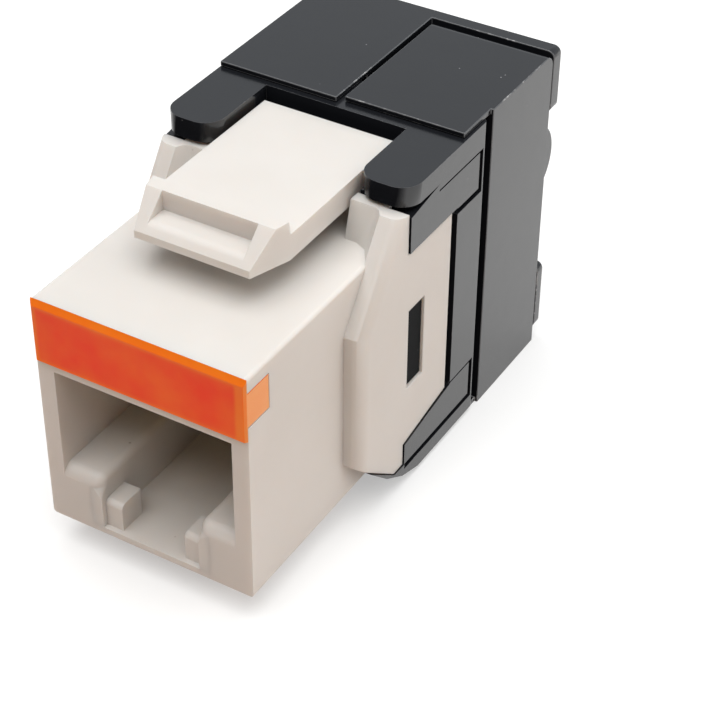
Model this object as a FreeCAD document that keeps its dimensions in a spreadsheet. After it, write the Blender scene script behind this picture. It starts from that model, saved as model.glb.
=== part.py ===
# Tool-less 180 degree keystone jack: a plug housing with an integral latch arm, a swappable icon
# clip, a rear body with IDC terminals, two hinged rear doors and the wire cap that they press home.
# Sketch frame: X to the right, Y from the front face to the rear, Z up from the housing's underside.
import FreeCAD, Part
import Sketcher
import math
import os
import re

doc = FreeCAD.newDocument("keystone_jack")

# ------------------------------------------------------------------ driving dimensions (mm)
SIZES = {
    # how far a cutting outline runs past the stock
    "overcut": 1.0,
    # front housing
    "housing_width": 14.5,
    "housing_height": 16.1,
    "sleeve_end": 20.4,
    "floor_end": 13.9,
    "corner_round": 0.25,
    # plug port
    "port_width": 12.2,
    "port_ceiling": 11.2,
    "port_depth": 13.5,
    "shoulder_height": 4.1,
    "shoulder_round": 0.8,
    "slot_width": 6.9,
    "slot_floor": 0.45,
    "catch_opening": 4.5,
    "catch_height": 2.4,
    "catch_setback": 0.35,
    "catch_length": 1.9,
    "catch_round": 0.4,
    "slot_round": 0.5,
    "tongue_thickness": 1.4,
    "tongue_front": 2.2,
    "roof_thickness": 1.2,
    "sleeve_floor": 0.95,
    # latch arm
    "arm_width": 9.2,
    "arm_rise": 3.4,
    "arm_thickness": 1.7,
    "arm_end": 20.2,
    "root_length": 2.4,
    "hook_front": 5.5,
    "hook_tip_drop": 0.9,
    "hook_tip_thickness": 0.5,
    "hook_ramp_end": 7.5,
    "hook_crest_rise": 0.9,
    "hook_crest_end": 8.5,
    "hook_heel": 8.65,
    "post_width": 1.35,
    "notch_drop": 0.4,
    "notch_round": 0.9,
    "hook_tip_width": 7.8,
    # side flanges and transverse stop wall
    "flange_width": 17.1,
    "flange_front": 10.0,
    "flange_step": 15.1,
    "flange_drop": 0.4,
    "flange_bottom": 1.3,
    "flange_bottom_rear": 2.3,
    "flange_toe": -0.3,
    "flange_toe_start": 14.0,
    "flange_chin": 2.8,
    "flange_round_share": 0.6153846,
    "flange_shoulder_drop": 3.6,
    "post_root": 0.15,
    "post_rise": 2.4,
    "post_front": 14.2,
    "stop_round": 1.5,
    "stop_gap": 0.2,
    "stop_lean": 0.65,
    "stop_front": 14.15,
    "stop_thickness": 0.8,
    "stop_crest_round": 0.6,
    "window_start": 15.35,
    "window_end": 17.3,
    "window_bottom": 5.6,
    "window_top": 11.5,
    # fixed catch under the housing
    "keel_front": 6.8,
    "keel_length": 1.9,
    "keel_drop": 1.2,
    "keel_width": 9.0,
    # icon clip
    "clip_lintel": 0.6,
    "clip_thickness": 1.1,
    "clip_proud": 0.2,
    "clip_leg_length": 2.1,
    "leg_margin": 1.0,
    "clip_leg_thickness": 0.7,
    "clip_bevel": 0.15,
    "clip_slope": 0.45,
    "key_width": 12.2,
    "key_margin": 0.5,
    "clip_gap": 0.06,
    # rear body
    "flange_inset": 0.1,
    "rear_rise": 4.0,
    "rear_bottom": -1.75,
    "rear_front": 20.95,
    "rear_end": 24.45,
    "horn_front": 15.0,
    "horn_inner": 4.95,
    "horn_thickness": 1.35,
    "horn_round": 1.4,
    "bar_front": 15.2,
    "bar_groove": 0.5,
    "bar_groove_end": 18.5,
    "seam_rear": 23.55,
    "seam_width": 0.42,
    "seam_depth": 0.35,
    "line_width": 0.12,
    "nose_front": 11.0,
    "nose_height": 1.9,
    "nose_length": 6.0,
    "fit_gap": 0.06,
    "rear_corner": 0.4,
    # contact carrier, board and contacts
    "carrier_front": 13.55,
    "carrier_end": 18.6,
    "tab_inset": 0.15,
    "board_thickness": 1.0,
    "contact_pitch": 1.02,
    "contact_width": 0.45,
    "contact_thickness": 0.3,
    "contact_groove": 0.6,
    "groove_depth": 0.5,
    "contact_rise": 0.28,
    "contact_bend": 0.45,
    "contact_tip_back": 10.6,
    "contact_tip_height": 7.4,
    # IDC terminals
    "idc_pitch": 3.5,
    "idc_width": 2.3,
    "idc_sheet": 0.5,
    "idc_end": 27.4,
    "idc_fork": 0.4,
    "idc_fork_depth": 2.6,
    "comb_end": 27.9,
    "comb_height": 2.8,
    "comb_inset": 0.4,
    "comb_slot": 1.2,
    "comb_slot_depth": 2.9,
    "row_inset": 0.8,
    "lower_row": 4.2,
    "idc_tail": 1.0,
    "standoff_low": 7.2,
    "standoff_high": 11.2,
    "standoff_place": 5.1,
    "standoff_radius": 0.8,
    "board_width": 12.0,
    "board_clearance": 0.15,
    "contact_stub": 0.3,
    "contact_bend_place": 2.95,
    # wire cap
    "rib_depth": 2.2,
    "notch_depth": 1.1,
    "cap_inset": 0.3,
    "cap_height": 17.0,
    "cap_plate": 1.4,
    "cap_gap": 0.15,
    "cap_collar_end": 31.75,
    "cable_radius": 3.75,
    "cable_height": 9.15,
    "collar_wall": 0.9,
    # rear doors
    "door_front": 21.75,
    "door_lead": 0.35,
    "door_split": 0.4,
    "door_rise": 0.04,
    "ear_thickness": 0.33,
    "door_wall": 1.15,
    "door_plate_front": 25.1,
    "door_rear": 33.2,
    "door_round": 0.9,
    "hinge_inset": 1.45,
    "hinge_place": 23.3,
    "pin_radius": 0.8,
    "pin_length": 1.6,
    "pin_gap": 0.06,
    "bar_thickness": 1.0,
    "bar_bottom": 16.0,
    "bar_slack": 0.12,
    "bar_round": 0.5,
    "finger_bottom": -1.2,
    "finger_top": 4.0,
    "finger_thickness": 0.75,
    "lug_radius": 2.6,
    "lug_height": 12.6,
    "lug_reach": 1.6,
    "lug_length": 3.4,
    "ear_inset": 0.2,
    "hole_depth": 1.8,
}

# ------------------------------------------------------------------ lengths worked out from them
FORMULAS = {
    "half_housing": "housing_width / 2",
    "half_port": "port_width / 2",
    "half_slot": "slot_width / 2",
    "half_flange": "flange_width / 2",
    "half_rear": "half_flange + flange_inset",
    "hinge_offset": "half_rear - hinge_inset",
    "tab_reach": "half_flange - tab_inset",
    "half_arm": "arm_width / 2",
    "roof_underside": "housing_height - roof_thickness",
    "arm_top": "housing_height + arm_rise",
    "hook_tip_height": "arm_top - hook_tip_drop",
    "hook_tip_underside": "hook_tip_height - hook_tip_thickness",
    "hook_crest": "arm_top + hook_crest_rise",
    "notch_floor": "arm_top - notch_drop",
    "flange_top": "housing_height - flange_drop",
    "flange_shoulder": "housing_height - flange_shoulder_drop",
    "flange_round": "(half_flange - half_housing) * flange_round_share",
    "post_top": "housing_height + post_rise",
    "rear_top": "housing_height + rear_rise",
    "board_height": "roof_underside - sleeve_floor - board_clearance",
    "upper_row": "roof_underside - row_inset",
    "arm_bottom": "arm_top - arm_thickness",
    "clip_bottom": "port_ceiling + clip_lintel",
    "half_key": "key_width / 2",
    "key_bottom": "clip_bottom + key_margin",
    "key_top": "housing_height - key_margin",
    "leg_bottom": "clip_bottom + leg_margin",
    "leg_top": "housing_height - leg_margin",
    "rear_limit": "max(hook_bar_end; door_rear + lug_reach)",
    "post_inner": "half_housing - post_root",
    "clip_seat": "clip_thickness - clip_proud",
    "tongue_top": "port_ceiling + tongue_thickness",
    "stop_start": "half_arm + stop_gap",
    "stop_crest": "stop_front + stop_lean",
    "stop_end": "stop_crest + stop_thickness",
    "horn_bottom": "rear_top - horn_thickness",
    "bar_top": "horn_bottom - bar_groove",
    "board_end": "carrier_end + board_thickness",
    "ear_bottom": "rear_top + door_rise",
    "door_top": "ear_bottom + ear_thickness",
    "under_ear": "rear_bottom - door_rise",
    "door_bottom": "under_ear - ear_thickness",
    "half_split": "door_split / 2",
    "door_inside": "door_rear - door_wall",
    "plate_inside": "half_rear - door_wall",
    "half_comb": "plate_inside - comb_inset",
    "half_cap": "plate_inside - cap_inset",
    "lug_end": "half_rear - seam_depth",
    "hook_bar_end": "door_rear + bar_slack + bar_thickness",
    "finger_end": "door_rear + bar_slack + finger_thickness",
    "cap_rear": "comb_end + cap_plate",
    "cap_bottom": "cable_height - cap_height / 2",
    "cap_top": "cable_height + cap_height / 2",
    "collar_radius": "cable_radius + collar_wall",
    "groove_roof": "port_ceiling + groove_depth",
    "contact_run": "port_ceiling + contact_rise",
}

sheet = doc.addObject("Spreadsheet::Sheet", "sizes")
for row, (name, number) in enumerate(SIZES.items(), start=1):
    sheet.set("A%d" % row, name)
    sheet.set("B%d" % row, str(number))
    sheet.setAlias("B%d" % row, name)
doc.recompute()


def bind(text):
    """The expression with every name of SIZES and FORMULAS replaced by its cell or formula."""
    def swap(word):
        word = word.group(0)
        if word in SIZES:
            return "sizes." + word
        if word in FORMULAS:
            return "(" + bind(FORMULAS[word]) + ")"
        return word
    return re.sub(r"[a-z][a-z_]*", swap, text)


def value(text):
    """The number that an expression gives."""
    return float(sheet.evalExpression(bind(text)))


# ------------------------------------------------------------------ modelling helpers
def new_body(label):
    body = doc.addObject("PartDesign::Body", label)
    body.Label = label
    return body


def origin_plane(body, role):
    return next(plane for plane in body.Origin.OriginFeatures if plane.Role == role)


# plane: (role, sign of the sketch normal along the third axis)
PLANES = {"xy": ("XY_Plane", 1), "xz": ("XZ_Plane", -1), "yz": ("YZ_Plane", 1)}


def new_sketch(body, plane, place):
    """An empty sketch parallel to an origin plane, at a place along the plane's third axis."""
    role, sign = PLANES[plane]
    sketch = body.newObject("Sketcher::SketchObject", body.Label + "_sketch")
    sketch.AttachmentSupport = [(origin_plane(body, role), "")]
    sketch.MapMode = "FlatFace"
    text = place if sign > 0 else "-(%s)" % place
    sketch.setExpression("AttachmentOffset.Base.z", bind(text))
    return sketch


def draw(sketch, loops, circles):
    """Closed outlines through points, and circles, all held by expressions from the sketch's origin."""
    lines, ties, held = [], [], []
    for points in loops:
        first = len(lines)
        spots = [FreeCAD.Vector(value(u), value(v), 0) for u, v in points]
        for index, spot in enumerate(spots):
            following = (index + 1) % len(spots)
            lines.append(Part.LineSegment(spot, spots[following]))
            ties.append(Sketcher.Constraint("Coincident", first + index, 2, first + following, 1))
            held.append((first + index, 1, points[index]))
    rounds = []
    for centre, radius in circles:
        middle = FreeCAD.Vector(value(centre[0]), value(centre[1]), 0)
        held.append((len(lines), 3, centre))
        rounds.append((len(lines), radius))
        lines.append(Part.Circle(middle, FreeCAD.Vector(0, 0, 1), value(radius)))
    sketch.addGeometry(lines, False)
    driven = []
    for geometry, end, point in held:
        for kind, text in zip(("DistanceX", "DistanceY"), point):
            driven.append((Sketcher.Constraint(kind, -1, 1, geometry, end, value(text)), text))
    for geometry, radius in rounds:
        driven.append((Sketcher.Constraint("Radius", geometry, value(radius)), radius))
    sketch.addConstraint(ties + [constraint for constraint, text in driven])
    for index, (constraint, text) in enumerate(driven, start=len(ties)):
        sketch.setExpression("Constraints[%d]" % index, bind(text))


def extrude(body, plane, low, high, loops=(), circles=(), cut=False):
    """Pad or pocket outlines between two places along the plane's third axis."""
    sign = PLANES[plane][1]
    start = low if (sign > 0) != cut else high
    sketch = new_sketch(body, plane, start)
    draw(sketch, loops, circles)
    kind = "PartDesign::Pocket" if cut else "PartDesign::Pad"
    before = body.Shape.Volume if body.Tip else 0.0
    feature = body.newObject(kind, body.Label + ("_pocket" if cut else "_pad"))
    feature.Profile = sketch
    feature.setExpression("Length", bind("(%s) - (%s)" % (high, low)))
    doc.recompute()
    change = body.Shape.Volume - before
    if (change >= 0) if cut else (change <= 0):
        raise ValueError("%s: a feature of %s changed nothing" % (kind, body.Label))
    return feature


def loft(body, low, foot, high, crest):
    """A ruled solid between an outline at one height and an outline of as many points at another."""
    sketches = []
    for place, loop in ((low, foot), (high, crest)):
        sketches.append(new_sketch(body, "xy", place))
        draw(sketches[-1], [loop], [])
    feature = body.newObject("PartDesign::AdditiveLoft", body.Label + "_loft")
    feature.Profile = sketches[0]
    feature.Sections = sketches[1:]
    feature.Ruled = True
    doc.recompute()
    return feature


def pad(body, plane, low, high, *loops):
    return extrude(body, plane, low, high, loops)


def pocket(body, plane, low, high, *loops):
    return extrude(body, plane, low, high, loops, cut=True)


def block(left, right, bottom, top):
    """A rectangle's four corners."""
    return [(left, bottom), (right, bottom), (right, top), (left, top)]


def both(loop):
    """An outline and its mirror image about the second axis."""
    return [loop, [("-(%s)" % u, v) for u, v in reversed(loop)]]


def dress(body, kind, size, chosen):
    """Fillet or chamfer the edges for which chosen(edge) is true."""
    names = ["Edge%d" % (index + 1) for index, edge in enumerate(body.Shape.Edges) if chosen(edge)]
    if not names:
        raise ValueError("no edge to dress on " + body.Label)
    base = body.Tip
    feature = body.newObject("PartDesign::" + kind, body.Label + "_" + kind.lower())
    feature.Base = (base, names)
    feature.setExpression("Radius" if kind == "Fillet" else "Size", bind(size))
    doc.recompute()
    if not body.Shape.isValid():
        raise ValueError("a %s of %s came out wrong" % (size, body.Label))
    return feature


def along(edge, axis):
    """True for a straight edge along X, Y or Z."""
    ends = [vertex.Point for vertex in edge.Vertexes]
    reach = abs(getattr(ends[-1] - ends[0], axis))
    return reach > 1e-3 and abs(reach - edge.Length) < 1e-6


def at(edge, **places):
    """True where the middle of the edge has the given coordinates."""
    middle = edge.CenterOfMass
    return all(abs(getattr(middle, axis) - place) < 1e-3 for axis, place in places.items())


# ------------------------------------------------------------------ front housing
def build_housing():
    body = new_body("front_housing")
    pad(body, "xz", "0", "sleeve_end", block("-half_housing", "half_housing", "0", "housing_height"))
    dress(body, "Fillet", "corner_round", lambda edge: along(edge, "y"))
    side = [
        ("flange_front", "flange_chin"),
        ("flange_toe_start", "flange_toe"),
        ("flange_step", "flange_toe"),
        ("flange_step", "flange_bottom"),
        ("sleeve_end", "flange_bottom_rear"),
        ("sleeve_end", "flange_top"),
        ("flange_step", "flange_top"),
        ("flange_step", "post_top"),
        ("post_front", "post_top"),
        ("flange_front", "flange_shoulder"),
    ]
    pad(body, "yz", "post_inner", "half_flange", side)
    pad(body, "yz", "-half_flange", "-post_inner", side)
    outer, front, back = value("half_flange"), value("flange_front"), value("post_front")
    low, high = value("flange_chin"), value("flange_shoulder")
    dress(body, "Fillet", "flange_round",
          lambda edge: abs(abs(edge.CenterOfMass.x) - outer) < 1e-3 and edge.CenterOfMass.z > low
          and (abs(edge.CenterOfMass.y - front) < 1e-3
               or front < edge.CenterOfMass.y < back and edge.CenterOfMass.z > high))
    # the stop walls lean back, and curve forward into the posts
    foot = [("stop_start", "stop_front"), ("post_inner - stop_round", "stop_front"),
            ("post_inner - stop_round / 2", "stop_front - stop_round / 4"),
            ("post_inner", "stop_front - stop_round"), ("post_inner", "stop_end"), ("stop_start", "stop_end")]
    crest = [("stop_start", "stop_crest"), ("post_inner - stop_crest_round", "stop_crest"),
             ("post_inner - stop_crest_round / 2", "stop_crest - stop_crest_round / 4"),
             ("post_inner", "stop_crest - stop_crest_round"), ("post_inner", "stop_end"),
             ("stop_start", "stop_end")]
    loft(body, "housing_height", foot, "post_top", crest)
    loft(body, "housing_height", both(foot)[1], "post_top", both(crest)[1])
    # the latch arm, folded forward from its root on the roof
    arm = [
        ("arm_end", "roof_underside"),
        ("arm_end", "arm_top"),
        ("hook_heel", "arm_top"),
        ("hook_crest_end", "hook_crest"),
        ("hook_ramp_end", "hook_crest"),
        ("hook_front", "hook_tip_height"),
        ("hook_front", "hook_tip_underside"),
        ("hook_heel", "arm_bottom"),
        ("arm_end - root_length", "arm_bottom"),
        ("arm_end - root_length", "roof_underside"),
    ]
    pad(body, "yz", "-half_arm", "half_arm", arm)
    # keel: the fixed catch that hooks under the panel's lower edge
    keel = [("keel_front", "0"), ("keel_front + keel_length", "-keel_drop"),
            ("keel_front + keel_length", "slot_floor"), ("keel_front", "slot_floor")]
    pad(body, "yz", "-keel_width / 2", "keel_width / 2", keel)
    # plug port, latch slot and the sleeve behind them
    pocket(body, "xz", "0", "port_depth", block("-half_port", "half_port", "shoulder_height", "port_ceiling"))
    pocket(body, "xz", "0", "port_depth", block("-half_slot", "half_slot", "slot_floor", "port_ceiling"))
    shoulder = value("shoulder_height")
    dress(body, "Fillet", "slot_round", lambda edge: along(edge, "y") and at(edge, z=shoulder)
          and edge.CenterOfMass.x ** 2 < value("half_slot") ** 2 + 1e-3)
    dress(body, "Fillet", "shoulder_round", lambda edge: along(edge, "x") and at(edge, y=0, z=shoulder))
    pocket(body, "xz", "port_depth", "sleeve_end",
           block("-half_port", "half_port", "sleeve_floor", "roof_underside"))
    pocket(body, "xz", "tongue_front", "sleeve_end",
           block("-half_port", "half_port", "port_ceiling", "tongue_top + fit_gap"))
    pocket(body, "xz", "floor_end", "sleeve_end",
           block("-half_port", "half_port", "flange_toe - overcut", "sleeve_floor"),
           *both(block("half_port", "half_housing", "flange_toe - overcut", "0")))
    # the plug latch's two short catches in the slot
    catch = block("catch_opening / 2", "half_slot", "slot_floor - fit_gap", "catch_height")
    pad(body, "xz", "catch_setback", "catch_setback + catch_length", *both(catch))
    tip, crown = value("catch_setback"), value("catch_height")
    dress(body, "Fillet", "catch_round", lambda edge: along(edge, "x") and at(edge, y=tip, z=crown))
    # seat of the icon clip: a recess in the front and a shallow groove on each side
    pocket(body, "xz", "0", "clip_seat + clip_gap",
           block("-half_key - clip_gap", "half_key + clip_gap",
                 "key_bottom - clip_gap", "key_top + clip_gap"))
    pocket(body, "xz", "0", "clip_leg_length + clip_gap",
           *both(block("half_housing - clip_leg_thickness - clip_gap", "half_housing + overcut",
                       "leg_bottom - clip_gap", "leg_top + clip_gap")))
    # windows for the carrier's latch tabs
    pocket(body, "yz", "-half_flange - overcut", "half_flange + overcut",
           block("window_start", "window_end", "window_bottom", "window_top"))
    # tool notch between the hook's two posts, and the taper of the hook in plan
    ramp = value("hook_ramp_end")
    notch = block("hook_front - overcut", "hook_ramp_end", "notch_floor", "hook_crest + overcut")
    pocket(body, "yz", "-half_arm + post_width", "half_arm - post_width", notch)
    shelf = value("notch_floor")
    dress(body, "Fillet", "notch_round",
          lambda edge: along(edge, "x") and abs(edge.CenterOfMass.z - shelf) < 1e-3
          and edge.CenterOfMass.y < ramp - 1e-3)
    taper = [("half_arm", "hook_crest_end"), ("half_arm + overcut", "hook_crest_end"),
             ("half_arm + overcut", "hook_front - overcut"), ("hook_tip_width / 2", "hook_front - overcut"),
             ("hook_tip_width / 2", "hook_front")]
    pocket(body, "xy", "arm_bottom - overcut", "hook_crest + overcut", *both(taper))
    return body


# ------------------------------------------------------------------ icon clip
def build_clip():
    body = new_body("icon_clip")
    plate = [("-clip_proud", "clip_bottom"), ("0", "clip_bottom"),
             ("0", "housing_height"), ("-clip_proud", "housing_height - clip_slope")]
    pad(body, "yz", "-half_housing", "half_housing", plate)
    side, front = value("half_housing"), value("-clip_proud")
    dress(body, "Chamfer", "clip_bevel",
          lambda edge: along(edge, "z") and abs(abs(edge.CenterOfMass.x) - side) < 1e-3
          and abs(edge.CenterOfMass.y - front) < 1e-3)
    pad(body, "xz", "0", "clip_seat",
        block("-half_key", "half_key", "key_bottom", "key_top"))
    leg = block("half_housing - clip_leg_thickness", "half_housing", "leg_bottom", "leg_top")
    pad(body, "xz", "0", "clip_leg_length", *both(leg))
    return body


# ------------------------------------------------------------------ rear body
def idc_places():
    """Middle of each terminal: across, and height."""
    columns = [index - 1.5 for index in range(4)]
    return [("idc_pitch * %s" % column, row) for row in ("upper_row", "lower_row") for column in columns]


def build_rear_body():
    body = new_body("rear_body")
    pad(body, "xz", "rear_front", "rear_end",
        block("-half_rear", "half_rear", "rear_bottom", "rear_top"))
    # horns on both sides of the latch arm, and the bars under them
    horn = [("horn_inner", "rear_front"), ("horn_inner", "horn_front"),
            ("half_rear", "horn_front"), ("half_rear", "rear_front")]
    pad(body, "xy", "horn_bottom", "rear_top", *both(horn))
    horn_bottom, horn_top, horn_front = value("horn_bottom"), value("rear_top"), value("horn_front")
    middle = (horn_bottom + horn_top) / 2
    dress(body, "Fillet", "horn_round",
          lambda edge: along(edge, "z") and at(edge, y=horn_front, z=middle))
    bar = [("bar_front", "flange_top + fit_gap"), ("rear_front", "flange_top + fit_gap"),
           ("rear_front", "horn_bottom"), ("bar_groove_end", "horn_bottom"), ("bar_front", "bar_top")]
    pad(body, "yz", "half_housing", "half_rear", bar)
    pad(body, "yz", "-half_rear", "-half_housing", bar)
    inner_bar = block("stop_end + fit_gap", "rear_front", "housing_height + fit_gap", "horn_bottom")
    pad(body, "yz", "horn_inner", "half_housing", inner_bar)
    pad(body, "yz", "-half_housing", "-horn_inner", inner_bar)
    # the floor under the sleeve with its rounded nose, and its side lips
    floor = [
        ("nose_front", "nose_height"),
        ("nose_front + nose_length / 3", "nose_height - (nose_height - rear_bottom) / 2"),
        ("nose_front + nose_length * 2 / 3", "nose_height - (nose_height - rear_bottom) * 5 / 6"),
        ("nose_front + nose_length", "rear_bottom"),
        ("rear_front", "rear_bottom"),
        ("rear_front", "flange_bottom_rear - fit_gap"),
        ("flange_step + fit_gap", "flange_bottom - fit_gap"),
        ("flange_step + fit_gap", "flange_toe - fit_gap"),
        ("flange_toe_start", "flange_toe - fit_gap"),
    ]
    pad(body, "yz", "-half_rear", "half_rear", floor)
    # room for the housing's sleeve
    pocket(body, "xz", "nose_front - overcut", "rear_front",
           block("-half_housing - fit_gap", "half_housing + fit_gap", "-fit_gap", "housing_height + fit_gap"))
    # seams and fine lines on both sides
    seams = [
        block("rear_front - overcut", "seam_rear", "flange_top - seam_width", "flange_top"),
        block("seam_rear", "seam_rear + seam_width", "flange_top - seam_width", "bar_top"),
        block("seam_rear", "seam_rear + seam_width", "flange_toe - seam_width", "flange_bottom_rear"),
        block("bar_front", "seam_rear", "flange_toe - seam_width", "flange_toe"),
    ]
    lines = [
        block("bar_groove_end", "seam_rear + seam_width", "bar_top", "bar_top + line_width"),
        block("rear_front", "seam_rear + seam_width", "flange_bottom_rear", "flange_bottom_rear + line_width"),
    ]
    for depth, loops in (("seam_depth", seams), ("line_width", lines)):
        for loop in loops:
            pocket(body, "yz", "half_rear - " + depth, "half_rear", loop)
            pocket(body, "yz", "-half_rear", "-half_rear + " + depth, loop)
    # combs that hold the terminals and guide the wires
    for row in ("upper_row", "lower_row"):
        pad(body, "xz", "rear_end", "comb_end",
            block("-half_comb", "half_comb", row + " - comb_height / 2", row + " + comb_height / 2"))
    pocket(body, "xz", "comb_end - comb_slot_depth", "comb_end",
           *[block(across + " - comb_slot / 2", across + " + comb_slot / 2",
                   row + " - comb_height / 2 - fit_gap", row + " + comb_height / 2 + fit_gap")
             for across, row in idc_places()])
    pocket(body, "xz", "rear_front", "comb_end",
           *[block(across + " - idc_width / 2 - fit_gap", across + " + idc_width / 2 + fit_gap",
                   row + " - idc_sheet / 2", row + " + idc_sheet / 2")
             for across, row in idc_places()])
    # standoffs that press the board against the carrier
    for height in ("standoff_low", "standoff_high"):
        for side in ("standoff_place", "-standoff_place"):
            extrude(body, "xz", "board_end", "rear_front", circles=[((side, height), "standoff_radius")])
    # hinge holes
    for side in ("hinge_offset", "-hinge_offset"):
        hole = [((side, "hinge_place"), "pin_radius + pin_gap")]
        extrude(body, "xy", "rear_top - hole_depth", "rear_top", circles=hole, cut=True)
        extrude(body, "xy", "rear_bottom", "rear_bottom + hole_depth", circles=hole, cut=True)
    rear, side = value("rear_end"), value("half_rear")
    dress(body, "Fillet", "rear_corner",
          lambda edge: along(edge, "z") and abs(edge.CenterOfMass.y - rear) < 1e-3
          and abs(abs(edge.CenterOfMass.x) - side) < 1e-3)
    return body


# ------------------------------------------------------------------ contact carrier
def contact_places():
    return ["contact_pitch * %s" % (index - 3.5) for index in range(8)]


def build_carrier():
    body = new_body("contact_carrier")
    pad(body, "xz", "carrier_front", "carrier_end",
        block("-half_port + fit_gap", "half_port - fit_gap", "sleeve_floor", "roof_underside - fit_gap"))
    pad(body, "xz", "tongue_front + fit_gap", "carrier_front",
        block("-half_port + fit_gap", "half_port - fit_gap", "port_ceiling", "tongue_top"))
    # latch tabs that snap into the housing's windows
    tab = block("window_start", "window_end - fit_gap", "window_bottom + fit_gap", "window_top - fit_gap")
    pad(body, "yz", "half_port - 2 * fit_gap", "tab_reach", tab)
    pad(body, "yz", "-tab_reach", "-half_port + 2 * fit_gap", tab)
    pocket(body, "xz", "tongue_front", "carrier_end",
           *[block(across + " - contact_groove / 2", across + " + contact_groove / 2",
                   "port_ceiling", "groove_roof")
             for across in contact_places()])
    return body


# ------------------------------------------------------------------ contacts, board, terminals
def build_contact(number, across):
    """A sprung strip: out of the board, forward along the tongue, round a bend and back down."""
    bend = value("contact_bend")
    tail = FreeCAD.Vector(0, value("board_end + contact_stub"), value("contact_run"))
    centre = FreeCAD.Vector(0, value("contact_bend_place"), value("contact_run - contact_bend"))
    tip = FreeCAD.Vector(0, value("contact_tip_back"), value("contact_tip_height"))
    start = centre + FreeCAD.Vector(0, 0, bend)
    # the leg leaves the bend where its line to the tip is tangent
    reach = tip - centre
    length = math.sqrt(reach.Length ** 2 - bend ** 2)
    slope = math.atan2(reach.z, reach.y) - math.atan2(bend, length)
    leave = centre + FreeCAD.Vector(0, bend * math.sin(slope), -bend * math.cos(slope))
    # halfway round, on the front of the bend
    turn = (math.pi / 2 + slope + 3 * math.pi / 2) / 2
    halfway = centre + FreeCAD.Vector(0, bend * math.cos(turn), bend * math.sin(turn))
    path = Part.Wire([
        Part.LineSegment(tail, start).toShape(),
        Part.Arc(start, halfway, leave).toShape(),
        Part.LineSegment(leave, tip).toShape(),
    ])
    half, thick = value("contact_width") / 2, value("contact_thickness") / 2
    corners = [FreeCAD.Vector(u * half, 0, v * thick) + tail
               for u, v in ((-1, -1), (1, -1), (1, 1), (-1, 1))]
    profile = Part.Wire(Part.makePolygon(corners + corners[:1]).Edges)
    strip = doc.addObject("Part::Feature", "contact_%d" % number)
    strip.Label = "contact_%d" % number
    strip.Shape = path.makePipeShell([profile], True, True)
    strip.Placement.Base.x = value(across)
    return strip


def build_board():
    body = new_body("circuit_board")
    pad(body, "xz", "carrier_end", "board_end",
        block("-board_width / 2", "board_width / 2", "sleeve_floor", "sleeve_floor + board_height"))
    holes = [block(across + " - contact_width / 2", across + " + contact_width / 2",
                   "contact_run - contact_thickness / 2", "contact_run + contact_thickness / 2")
             for across in contact_places()]
    holes += [block(across + " - idc_tail / 2", across + " + idc_tail / 2",
                    row + " - idc_sheet / 2", row + " + idc_sheet / 2")
              for across, row in idc_places()]
    pocket(body, "xz", "carrier_end", "board_end", *holes)
    return body


def build_idc(number, across, row):
    """A forked blade: the tail is soldered to the board, the fork grips a wire."""
    body = new_body("idc_%d" % number)
    outline = [
        ("idc_tail / 2", "board_end - board_thickness"),
        ("idc_tail / 2", "rear_front + fit_gap"),
        ("idc_width / 2", "rear_front + fit_gap"),
        ("idc_width / 2", "idc_end - idc_fork"),
        ("idc_width / 2 - idc_fork", "idc_end"),
        ("idc_fork", "idc_end"),
        ("idc_fork / 2", "idc_end - idc_fork"),
        ("idc_fork / 2", "idc_end - idc_fork_depth"),
    ]
    mirrored = [("-(%s)" % u, v) for u, v in reversed(outline)]
    shifted = [("%s + %s" % (across, u), v) for u, v in outline + mirrored]
    pad(body, "xy", row + " - idc_sheet / 2", row + " + idc_sheet / 2", shifted)
    return body


# ------------------------------------------------------------------ wire cap
def build_cap():
    body = new_body("wire_cap")
    pad(body, "xz", "comb_end", "cap_rear",
        block("-half_cap", "half_cap", "cap_bottom", "cap_top"))
    # ribs that push each wire into its fork, above and below the blade
    ribs = [block(across + " - comb_slot / 2 + cap_gap", across + " + comb_slot / 2 - cap_gap",
                  "%s + %s" % (row, low), "%s + %s" % (row, high))
            for across, row in idc_places()
            for low, high in (("-comb_height / 2", "-idc_sheet / 2 - cap_gap"),
                              ("idc_sheet / 2 + cap_gap", "comb_height / 2"))]
    pad(body, "xz", "comb_end - rib_depth", "comb_end", *ribs)
    # notches where the trimmed wires leave
    edges = {"upper_row": ("cap_top - notch_depth", "cap_top"),
             "lower_row": ("cap_bottom", "cap_bottom + notch_depth")}
    pocket(body, "xz", "comb_end", "cap_rear",
           *[block(across + " - comb_slot / 2", across + " + comb_slot / 2", *edges[row])
             for across, row in idc_places()])
    # collar round the cable
    middle = ("0", "cable_height")
    extrude(body, "xz", "cap_rear", "cap_collar_end", circles=[(middle, "collar_radius")])
    extrude(body, "xz", "comb_end - rib_depth - overcut", "cap_collar_end", circles=[(middle, "cable_radius")], cut=True)
    return body


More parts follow.
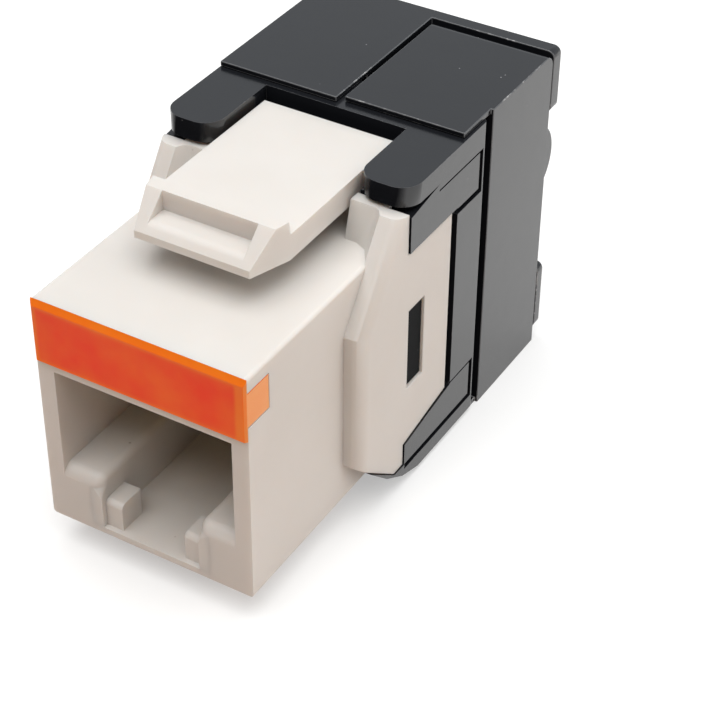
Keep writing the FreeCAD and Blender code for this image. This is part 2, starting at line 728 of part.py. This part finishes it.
# ------------------------------------------------------------------ rear doors
def build_door(label, side, front, inset):
    """A C-shaped wing: rear wall, side plate, top and bottom tiles with hinge ears and pins."""
    body = new_body(label)

    def span(low, high):
        """An across range on this door's side."""
        return (low, high) if side > 0 else ("-(%s)" % high, "-(%s)" % low)

    wall = span("half_split", "half_rear")
    tall = ("door_bottom", "door_top")
    pad(body, "xz", "door_inside", "door_rear", block(*wall, *tall))
    # half-round lug for the closing tool
    lug = span("lug_end - lug_length", "lug_end")
    extrude(body, "yz", *lug, circles=[(("door_rear + lug_reach - lug_radius", "lug_height"), "lug_radius")])
    pocket(body, "xz", "door_rear + lug_reach - 3 * lug_radius", "door_inside", block(*wall, *tall))
    plate = span("plate_inside", "half_rear")
    pad(body, "xz", "door_plate_front", "door_inside", block(*plate, *tall))
    for low, high, ear_low, ear_high, pin_low, pin_high in (
            ("door_top - door_wall", "door_top", "ear_bottom", "door_top",
             "ear_bottom - pin_length", "ear_bottom"),
            ("door_bottom", "door_bottom + door_wall", "door_bottom", "under_ear",
             "under_ear", "under_ear + pin_length")):
        pad(body, "xy", low, high, block(*wall, "door_plate_front", "door_inside"))
        ear = span("half_split", "half_rear - " + inset)
        pad(body, "xy", ear_low, ear_high, block(*ear, front, "door_plate_front"))
        centre = span("hinge_offset", "hinge_offset")[0]
        extrude(body, "xy", pin_low, pin_high, circles=[((centre, "hinge_place"), "pin_radius")])
    extrude(body, "xz", "door_inside - overcut", "door_rear + lug_reach",
            circles=[(("0", "cable_height"), "cable_radius")], cut=True)
    return body


def build_right_door():
    body = build_door("right_door", 1, "door_front", "ear_inset")
    rear, top = value("door_rear"), value("door_top")
    dress(body, "Fillet", "door_round",
          lambda edge: along(edge, "x") and abs(edge.CenterOfMass.y - rear) < 1e-3
          and abs(edge.CenterOfMass.z - top) < 1e-3)
    return body


def build_left_door():
    """The left door also carries the bar and finger that close over the right door."""
    body = build_door("left_door", -1, "door_front - door_lead", "0")
    for low, high, end in (("bar_bottom", "door_top", "hook_bar_end"),
                           ("finger_bottom", "finger_top", "finger_end")):
        pad(body, "xz", "door_rear", "door_rear + bar_slack", block("-half_rear", "-half_split", low, high))
        pad(body, "xz", "door_rear + bar_slack", end, block("-half_rear", "half_rear", low, high))
    tip = value("half_rear")
    dress(body, "Fillet", "bar_round",
          lambda edge: along(edge, "y") and abs(edge.CenterOfMass.x - tip) < 1e-3)
    return body


# ------------------------------------------------------------------ build and write
bodies = [build_housing(), build_clip(), build_rear_body(), build_carrier(), build_board()]
bodies += [build_contact(number, across) for number, across in enumerate(contact_places(), start=1)]
bodies += [build_idc(number, across, row) for number, (across, row) in enumerate(idc_places(), start=1)]
bodies += [build_cap(), build_right_door(), build_left_door()]

# the model's origin: centre of the underside
for body in bodies:
    body.setExpression("Placement.Base.y", bind("-(rear_limit - clip_proud) / 2"))
    body.setExpression("Placement.Base.z", bind("-door_bottom"))
doc.recompute()

for item in doc.Objects:
    if {"Invalid", "Error"} & set(item.State):
        raise ValueError("%s failed: %s" % (item.Label, item.State))
for body in bodies:
    if body.Shape.isNull() or not body.Shape.isValid():
        raise ValueError("%s has no valid shape" % body.Label)

os.makedirs("parts", exist_ok=True)
for body in bodies:
    body.Shape.exportStep("parts/%s.step" % body.Label)
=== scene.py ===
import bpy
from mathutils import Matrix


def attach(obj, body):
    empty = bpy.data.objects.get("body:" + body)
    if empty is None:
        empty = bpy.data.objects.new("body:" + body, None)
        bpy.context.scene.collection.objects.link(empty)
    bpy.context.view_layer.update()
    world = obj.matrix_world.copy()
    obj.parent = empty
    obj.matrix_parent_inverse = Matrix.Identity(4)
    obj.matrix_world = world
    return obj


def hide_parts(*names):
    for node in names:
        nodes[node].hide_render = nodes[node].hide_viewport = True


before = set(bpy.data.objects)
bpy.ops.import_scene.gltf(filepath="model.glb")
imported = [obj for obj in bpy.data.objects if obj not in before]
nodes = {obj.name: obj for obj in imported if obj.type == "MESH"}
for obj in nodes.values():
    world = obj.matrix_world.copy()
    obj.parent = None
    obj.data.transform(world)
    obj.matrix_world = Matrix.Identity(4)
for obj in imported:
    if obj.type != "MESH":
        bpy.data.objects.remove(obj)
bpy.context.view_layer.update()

import math
import bmesh
import bpy
from mathutils import Matrix, Vector

MM = 0.001
ORIGIN = Vector((0, -17.3, 2.12)) * MM  # the zero of the places below that are given in mm
CONTACTS = 8
scene = bpy.context.scene
scene.view_settings.view_transform = "Standard"


# ------------------------------------------------------------------ materials
SPECK_MIDDLE = 0.4  # the share of a speck's radius that has its full strength
HAZE = 1.4  # how many times as bright the black plastic is where it is hazy


def socket(sockets, identifier):
    """A Mix node has several sockets of one name, which only their identifiers tell apart."""
    return next(item for item in sockets if item.identifier == identifier)


class Graph:
    """A material's nodes. A texture, mask or calculation comes back as a socket to use further on."""

    def __init__(self, name):
        self.material = bpy.data.materials.new(name)
        self.material.use_nodes = True
        self.tree = self.material.node_tree
        self.shader = self.tree.nodes["Principled BSDF"]
        self.place = self.add("ShaderNodeTexCoord").outputs["Object"]

    def add(self, kind, **settings):
        node = self.tree.nodes.new(kind)
        for key, value in settings.items():
            setattr(node, key, value)
        return node

    def link(self, source, target):
        self.tree.links.new(source, target)

    def feed(self, value, target):
        """Gives the target a number or an RGB colour, or links another socket to it."""
        if isinstance(value, bpy.types.NodeSocket):
            self.link(value, target)
        elif isinstance(value, tuple):
            target.default_value = (*value, 1)
        else:
            target.default_value = value

    def scaled(self, per_mm, stretch=(1, 1, 1)):
        """The place on the part, counted in a texture's cells."""
        mapping = self.add("ShaderNodeMapping")
        mapping.inputs["Scale"].default_value = [per_mm / MM * share for share in stretch]
        self.link(self.place, mapping.inputs["Vector"])
        return mapping.outputs["Vector"]

    def noise(self, per_mm, detail=2.0, rough=0.5, stretch=(1, 1, 1)):
        place = self.scaled(per_mm, stretch)
        node = self.add("ShaderNodeTexNoise")
        node.inputs["Scale"].default_value = 1.0
        node.inputs["Detail"].default_value = detail
        node.inputs["Roughness"].default_value = rough
        self.link(place, node.inputs["Vector"])
        return node.outputs["Fac"]

    def specks(self, per_mm, size):
        place = self.scaled(per_mm)
        node = self.add("ShaderNodeTexVoronoi")
        node.inputs["Scale"].default_value = 1.0
        self.link(place, node.inputs["Vector"])
        return self.ramp(node.outputs["Distance"], size * SPECK_MIDDLE, size, 1.0, 0.0)

    def ramp(self, source, low, high, first=0.0, last=1.0):
        """Goes from the first value to the last as the source goes from low to high."""
        node = self.add("ShaderNodeValToRGB")
        for element, place, value in zip(node.color_ramp.elements, (low, high), (first, last)):
            element.position = place
            element.color = (value, value, value, 1)
        self.link(source, node.inputs["Fac"])
        return node.outputs["Color"]

    def mix(self, factor, first, second):
        node = self.add("ShaderNodeMix", data_type="RGBA")
        self.feed(first, socket(node.inputs, "A_Color"))
        self.feed(second, socket(node.inputs, "B_Color"))
        self.feed(factor, socket(node.inputs, "Factor_Float"))
        return socket(node.outputs, "Result_Color")

    def calculate(self, operation, *values):
        node = self.add("ShaderNodeMath", operation=operation)
        for value, target in zip(values, node.inputs):
            self.feed(value, target)
        return node.outputs[0]

    def multiply(self, first, second):
        return self.calculate("MULTIPLY", first, second)

    def facing(self, axis):
        """How far the surface faces along one of the scene's axes, from -1 to 1."""
        split = self.add("ShaderNodeSeparateXYZ")
        self.link(self.add("ShaderNodeNewGeometry").outputs["Normal"], split.inputs["Vector"])
        return split.outputs[axis]

    def sideways(self, low, high):
        """0 to 1 as the surface turns to face either way along X."""
        return self.ramp(self.calculate("ABSOLUTE", self.facing("X")), low, high)

    def forward(self, low, high):
        """0 to 1 as the surface turns to face the front, along -Y."""
        return self.ramp(self.multiply(self.facing("Y"), -1.0), low, high)

    def within(self, axis, low, high, fade):
        """1 between two places along one of the part's own axes, in mm, fading to 0 outside them."""
        split = self.add("ShaderNodeSeparateXYZ")
        self.link(self.place, split.inputs["Vector"])
        start = ORIGIN["XYZ".index(axis)]
        sides = []
        for full, none in ((low, low - fade), (high, high + fade)):
            node = self.add("ShaderNodeMapRange", interpolation_type="SMOOTHSTEP")
            node.inputs["From Min"].default_value = start + none * MM
            node.inputs["From Max"].default_value = start + full * MM
            self.link(split.outputs[axis], node.inputs["Value"])
            sides.append(node.outputs["Result"])
        return self.multiply(*sides)

    def spread(self, source, low, high, target):
        """Takes a source of 0 to 1 to low to high, on one of the shader's sockets."""
        node = self.add("ShaderNodeMapRange")
        node.inputs["To Min"].default_value = low
        node.inputs["To Max"].default_value = high
        self.link(source, node.inputs["Value"])
        self.link(node.outputs["Result"], self.shader.inputs[target])

    def roughness(self, source, low, high):
        self.spread(source, low, high, "Roughness")

    def bump(self, *layers):
        """Layers of (height source, distance in mm), one on top of another."""
        below = None
        for source, distance in layers:
            node = self.add("ShaderNodeBump")
            node.inputs["Strength"].default_value = 1.0
            node.inputs["Distance"].default_value = distance * MM
            self.link(source, node.inputs["Height"])
            if below:
                self.link(below, node.inputs["Normal"])
            below = node.outputs["Normal"]
        self.link(below, self.shader.inputs["Normal"])

    def colour(self, source):
        self.link(source, self.shader.inputs["Base Color"])

    def set(self, **values):
        """Plain values on the shader's own sockets, with _ for the spaces in their names."""
        for name, value in values.items():
            self.shader.inputs[name.replace("_", " ")].default_value = value


def housing_plastic():
    """Warm beige, a little cloudy, with a few dark specks."""
    graph = Graph("housing_plastic")
    darker, paler, speck = (0.638, 0.603, 0.562), (0.662, 0.630, 0.592), (0.36, 0.31, 0.27)
    tone = graph.mix(graph.ramp(graph.noise(0.12, 3.0), 0.35, 0.65), darker, paler)
    dots = graph.multiply(graph.specks(0.42, 0.045), graph.ramp(graph.noise(0.3), 0.58, 0.62))
    graph.colour(graph.mix(dots, tone, speck))
    graph.roughness(graph.noise(1.5, 4.0), 0.36, 0.50)
    graph.bump((graph.noise(14.0, 3.0), 0.003), (graph.noise(0.6), 0.006))
    graph.set(IOR=1.47, Subsurface_Weight=0.35, Subsurface_Scale=0.0015, Subsurface_Radius=(1.0, 0.75, 0.6))
    return graph.material


def clip_plastic():
    """Bright orange, redder in the marking field. The rim round the field is painted paler, a painted
    highlight; the thin legs are painted paler still, a painted glow of the light they let through.
    """
    graph = Graph("clip_plastic")
    cloud = graph.ramp(graph.noise(0.28, 3.0), 0.35, 0.65)
    # the rim: painted highlight, a paler orange than the field as if light caught the bevelled border
    rim = graph.mix(cloud, (0.99, 0.175, 0.006), (1.0, 0.210, 0.010))
    field = graph.mix(cloud, (0.98, 0.048, 0.002), (0.99, 0.115, 0.004))
    # the legs: painted light, a paler orange for the light that shines through the thin plastic
    leg = graph.mix(graph.noise(0.8, 3.0), (0.86, 0.30, 0.085), (0.88, 0.37, 0.13))
    across = graph.within("X", low=-6.75, high=6.35, fade=0.35)
    upright = graph.within("Z", low=12.15, high=15.25, fade=0.55)
    front = graph.mix(graph.multiply(across, upright), rim, field)
    # faces turned along X get the legs' painted glow
    graph.colour(graph.mix(graph.sideways(0.55, 0.85), front, leg))
    graph.roughness(graph.noise(2.0, 3.0), 0.30, 0.42)
    graph.bump((graph.noise(9.0, 3.0), 0.002), (graph.noise(0.7), 0.006))
    graph.set(IOR=1.30, Subsurface_Weight=0.15, Subsurface_Scale=0.0006, Subsurface_Radius=(1.0, 0.30, 0.08))
    return graph.material


def black_plastic(name, smooth=0.14, rough=0.26, tint=(0.0075, 0.0082, 0.0100), gloss=0.70):
    """The faces turned to the front get no reflection and stay almost black: painted shade, for the dim
    light in front.
    """
    graph = Graph(name)
    dust = graph.multiply(graph.specks(1.1, 0.06), graph.ramp(graph.noise(0.4, 2.0), 0.54, 0.60))
    haze = graph.mix(graph.noise(0.25, 4.0), tint, tuple(HAZE * part for part in tint))
    graph.colour(graph.mix(dust, haze, (0.30, 0.30, 0.30)))
    # painted shade: the specular level falls to nothing on faces turned to the front
    graph.spread(graph.forward(0.75, 0.95), gloss, 0.0, "Specular IOR Level")
    graph.roughness(graph.noise(0.9, 5.0, 0.6), smooth, rough)
    scratch = graph.ramp(graph.noise(0.9, 5.0, 0.6, stretch=(1, 14, 1)), 0.60, 0.63)
    graph.bump((graph.noise(8.0, 2.0), 0.0006), (graph.noise(0.35), 0.010), (scratch, 0.0008))
    graph.set(IOR=1.52)
    return graph.material


def dark_edge_highlight_and_wear():
    """The rounded edges of the black mouldings. Their grey, a little paler than the black, is painted
    highlight along every edge; the pale patches on it are partly wear and partly painted highlight.
    """
    graph = Graph("dark_edge_highlight_and_wear")
    streaks = graph.ramp(graph.noise(1.1, 5.0, 0.7), 0.50, 0.62)
    stretches = graph.ramp(graph.noise(0.22, 2.0), 0.50, 0.58)
    wear_and_glint = graph.multiply(streaks, stretches)
    # the first colour is painted highlight along the edges; the pale patches are wear and painted highlight
    graph.colour(graph.mix(wear_and_glint, (0.085, 0.088, 0.093), (0.34, 0.34, 0.34)))
    graph.roughness(wear_and_glint, 0.22, 0.45)
    graph.bump((graph.noise(4.0, 3.0), 0.003))
    return graph.material


def metal(name, first, second, smooth, rough):
    """Metal of two mixed tones, with a grain drawn out along X and Z."""
    graph = Graph(name)
    graph.colour(graph.mix(graph.noise(1.2, 4.0), first, second))
    graph.roughness(graph.noise(2.0, 4.0, 0.6, stretch=(1, 8, 1)), smooth, rough)
    graph.bump((graph.noise(8.0, 3.0, 0.5, stretch=(1, 6, 1)), 0.002))
    graph.set(Metallic=1.0)
    return graph.material


def board_mask():
    """The circuit board's green solder mask."""
    graph = Graph("board_mask")
    graph.colour(graph.mix(graph.noise(1.1, 4.0), (0.010, 0.105, 0.045), (0.016, 0.150, 0.060)))
    graph.roughness(graph.noise(2.0), 0.25, 0.4)
    graph.bump((graph.noise(3.0, 3.0), 0.01))
    return graph.material


beige = housing_plastic()
orange = clip_plastic()
black = black_plastic("black_plastic")
carrier = black_plastic("carrier_plastic", smooth=0.55, rough=0.70, tint=(0.004, 0.0042, 0.0045), gloss=0.05)
edge_glint_and_wear = dark_edge_highlight_and_wear()
cap = black_plastic("cap_plastic", smooth=0.35, rough=0.5, tint=(0.022, 0.022, 0.023))
gold = metal("plated_contact", (0.80, 0.52, 0.16), (0.88, 0.62, 0.24), smooth=0.18, rough=0.3)
tin = metal("tinned_terminal", (0.66, 0.64, 0.60), (0.74, 0.72, 0.69), smooth=0.22, rough=0.36)
mask = board_mask()


# ------------------------------------------------------------------ dressing
WELD_REACH = 2e-6  # in metres: corners as near as this are one corner
FLAT_TURN = math.radians(0.4)  # faces that turn less than this at their shared edge are one face
ROUND_TURN = math.radians(32)  # edges that turn more than this are rounded
CREASE_TURN = math.radians(38)  # edges that turn more than this are shaded as sharp
ROUND_STEPS = 3

FINISH = {"front_housing": beige, "icon_clip": orange, "rear_body": black, "contact_carrier": carrier,
          "circuit_board": mask, "wire_cap": cap, "right_door": black, "left_door": black}
for number in range(1, CONTACTS + 1):
    FINISH["contact_%d" % number] = gold
    FINISH["idc_%d" % number] = tin

# How wide the rounds are on the edges of the moulded pieces, in mm. The metal and the board have none.
ROUND = {"front_housing": 0.14, "icon_clip": 0.10, "rear_body": 0.11, "wire_cap": 0.08, "right_door": 0.13,
         "left_door": 0.13, "contact_carrier": 0.06}
SHARP = 0


def modify(obj, name, kind, **settings):
    modifier = obj.modifiers.new(name, kind)
    for key, value in settings.items():
        setattr(modifier, key, value)
    return modifier


def dressed(obj, material, width):
    """Material, and small moulded edge rounds made by modifiers, which leave the CAD's own mesh alone."""
    obj.data.materials.clear()
    obj.data.materials.append(material)
    modify(obj, "weld", "WELD", merge_threshold=WELD_REACH)
    modify(obj, "flat", "DECIMATE", decimate_type="DISSOLVE", angle_limit=FLAT_TURN)
    if width:
        edge = modify(obj, "edge", "BEVEL", width=width * MM, segments=ROUND_STEPS, limit_method="ANGLE",
                      angle_limit=ROUND_TURN, use_clamp_overlap=True, harden_normals=True)
        # the bevel faces of the black pieces get the edge material, with its painted highlight and wear
        if material is black:
            obj.data.materials.append(edge_glint_and_wear)
            edge.material = 1
    obj.data.polygons.foreach_set("use_smooth", [True] * len(obj.data.polygons))
    modify(obj, "split", "EDGE_SPLIT", split_angle=CREASE_TURN)
    modify(obj, "even", "WEIGHTED_NORMAL", mode="FACE_AREA_WITH_ANGLE", keep_sharp=True)


for name, obj in nodes.items():
    dressed(obj, FINISH[name], ROUND.get(name, SHARP))


# ------------------------------------------------------------------ pieces made here
# The marking field on the clip, in metres.
FIELD_BORDER = 0.30 * MM
FIELD_END_BORDER = 0.70 * MM  # at the clip's right end
FIELD_DEPTH = 0.05 * MM

# The corners of the latch slot, in mm from ORIGIN.
SLOT_HALF = 3.45  # from the middle to a side wall
SLOT_FLOOR = 0.45
SLOT_TOP = 3.3  # where the corners end
SLOT_ROUND = 0.8  # the housing's own round, which the corners fill
SLOT_LEVELS = 12
LEAST_ROUND = 0.06  # the share of that round that the corners leave low down
ROUND_GROWTH = 0.92  # and what is added to that share by SLOT_TOP
GROWTH_START = 0.7  # the share of the height from which it is added
QUARTER_STEPS = 6


def linked(name, data):
    obj = bpy.data.objects.new(name, data)
    scene.collection.objects.link(obj)
    return obj


def solid(name, form):
    mesh = bpy.data.meshes.new(name)
    form.to_mesh(mesh)
    form.free()
    return linked(name, mesh)


def placed(name, form, material, width, body):
    obj = solid(name, form)
    dressed(obj, material, width)
    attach(obj, body)
    return obj


def clip_face():
    """The clip with its marking field sunk a little below the rim, whose paler colour is painted highlight;
    the field is left bare.
    """
    form = bmesh.new()
    form.from_mesh(nodes["icon_clip"].data)
    bmesh.ops.remove_doubles(form, verts=form.verts, dist=WELD_REACH)
    bmesh.ops.dissolve_limit(form, angle_limit=FLAT_TURN, verts=form.verts, edges=form.edges)
    front = min(form.faces, key=lambda face: face.calc_center_median().y)
    bmesh.ops.inset_region(form, faces=[front], thickness=FIELD_BORDER)
    right = max(corner.co.x for corner in front.verts)
    for corner in front.verts:
        corner.co.y += FIELD_DEPTH
        if right - corner.co.x < FIELD_BORDER:
            corner.co.x -= FIELD_END_BORDER - FIELD_BORDER
    piece = placed("clip_face", form, orange, ROUND["icon_clip"], "clip")
    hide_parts("icon_clip")


def corner_outline(radius):
    """Seen from above, on the right: the filled corner, with a round of this radius left on it."""
    far = SLOT_HALF + SLOT_ROUND
    turns = [math.radians(90 * step / QUARTER_STEPS) for step in range(QUARTER_STEPS + 1)]
    arc = [(SLOT_HALF + radius * (1 - math.sin(turn)), radius * (1 - math.cos(turn))) for turn in turns]
    return [(far, 0.0), *arc, (SLOT_HALF, SLOT_ROUND), (far, SLOT_ROUND)]


def slot_corners():
    """Squares the two upright edges where the latch slot meets the front of the housing."""
    for name, side in (("left_slot_corner", -1), ("right_slot_corner", 1)):
        form = bmesh.new()
        loops = []
        for level in range(SLOT_LEVELS + 1):
            share = level / SLOT_LEVELS
            height = SLOT_FLOOR + (SLOT_TOP - SLOT_FLOOR) * share
            growth = max(0.0, (share - GROWTH_START) / (1 - GROWTH_START))
            outline = corner_outline(SLOT_ROUND * (LEAST_ROUND + ROUND_GROWTH * growth ** 2))
            loops.append([form.verts.new(ORIGIN + Vector((side * x, y, height)) * MM) for x, y in outline])
        for below, above in zip(loops, loops[1:]):
            for index in range(len(below)):
                form.faces.new([below[index - 1], below[index], above[index], above[index - 1]])
        form.faces.new(loops[0])
        form.faces.new(loops[-1])
        bmesh.ops.recalc_face_normals(form, faces=form.faces)
        placed(name, form, beige, SHARP, "jack")


clip_face()
slot_corners()


# ------------------------------------------------------------------ stage, light and camera
FLOOR_SIZE = 1.5
FLOOR_GLOW = 0.40  # makes the floor near white, only as the camera and reflections see it
AIM = (0, 0, 0.01)  # where the softboxes point


def floor():
    form = bmesh.new()
    bmesh.ops.create_grid(form, x_segments=1, y_segments=1, size=FLOOR_SIZE)
    obj = solid("floor", form)
    graph = Graph("floor")
    ray = graph.add("ShaderNodeLightPath")
    seen = graph.calculate("MAXIMUM", ray.outputs["Is Camera Ray"], ray.outputs["Is Glossy Ray"])
    bounced, shown = (0.52, 0.41, 0.34), (0.60, 0.595, 0.585)
    graph.colour(graph.mix(seen, bounced, shown))
    graph.link(graph.multiply(seen, FLOOR_GLOW), graph.shader.inputs["Emission Strength"])
    graph.roughness(graph.noise(0.02), 0.8, 0.9)
    graph.set(Emission_Color=(1.0, 1.0, 1.0, 1.0), Specular_IOR_Level=0.0)
    obj.data.materials.append(graph.material)


def softbox(name, place, size, power, colour=(1, 1, 1)):
    light = bpy.data.lights.new(name, "AREA")
    light.shape = "SQUARE"
    light.size = size
    light.energy = power
    light.color = colour
    obj = linked(name, light)
    obj.location = place
    obj.rotation_euler = (Vector(AIM) - Vector(place)).to_track_quat("-Z", "Y").to_euler()


def sky():
    """A studio that is bright and cool behind and above, and dim and warm in front."""
    brightest = Vector((0.15, 0.75, 0.60)).normalized()
    dim, bright = -0.6, 0.9  # how far a direction is along the brightest one, at each end of the change
    warm, cool = (0.150, 0.118, 0.100, 1), (0.552, 0.576, 0.600, 1)
    world = bpy.data.worlds.new("studio")
    scene.world = world
    world.use_nodes = True
    tree = world.node_tree
    place = tree.nodes.new("ShaderNodeTexCoord")
    dot = tree.nodes.new("ShaderNodeVectorMath")
    dot.operation = "DOT_PRODUCT"
    dot.inputs[1].default_value = brightest
    spread = tree.nodes.new("ShaderNodeMapRange")
    spread.interpolation_type = "SMOOTHSTEP"
    spread.inputs["From Min"].default_value = dim
    spread.inputs["From Max"].default_value = bright
    tone = tree.nodes.new("ShaderNodeMixRGB")
    tone.inputs["Color1"].default_value = warm
    tone.inputs["Color2"].default_value = cool
    back = tree.nodes["Background"]
    tree.links.new(place.outputs["Generated"], dot.inputs[0])
    tree.links.new(dot.outputs["Value"], spread.inputs["Value"])
    tree.links.new(spread.outputs["Result"], tone.inputs["Fac"])
    tree.links.new(tone.outputs["Color"], back.inputs["Color"])


def camera(place, target, roll, lens):
    data = bpy.data.cameras.new("camera")
    data.lens = lens
    data.sensor_width = 36.0
    data.clip_start = 0.005
    data.clip_end = 20
    ahead = (Vector(target) - Vector(place)).normalized()
    right = ahead.cross(Vector((0, 0, 1))).normalized()
    up = right.cross(ahead)
    turned = right * math.cos(roll) + up * math.sin(roll)
    above = up * math.cos(roll) - right * math.sin(roll)
    pose = Matrix((turned, above, -ahead)).transposed().to_4x4()
    pose.translation = Vector(place)
    obj = linked("camera", data)
    obj.matrix_world = pose
    scene.camera = obj


floor()
sky()
softbox("overhead", (0.02, -0.09, 0.58), size=0.70, power=4.5)
softbox("side", (0.55, 0.20, 0.22), size=0.40, power=1.0, colour=(1.0, 0.985, 0.96))
camera((0.05428, -0.08583, 0.08385), target=(0.00819, -0.00730, 0.01354), roll=0.011, lens=100.28)
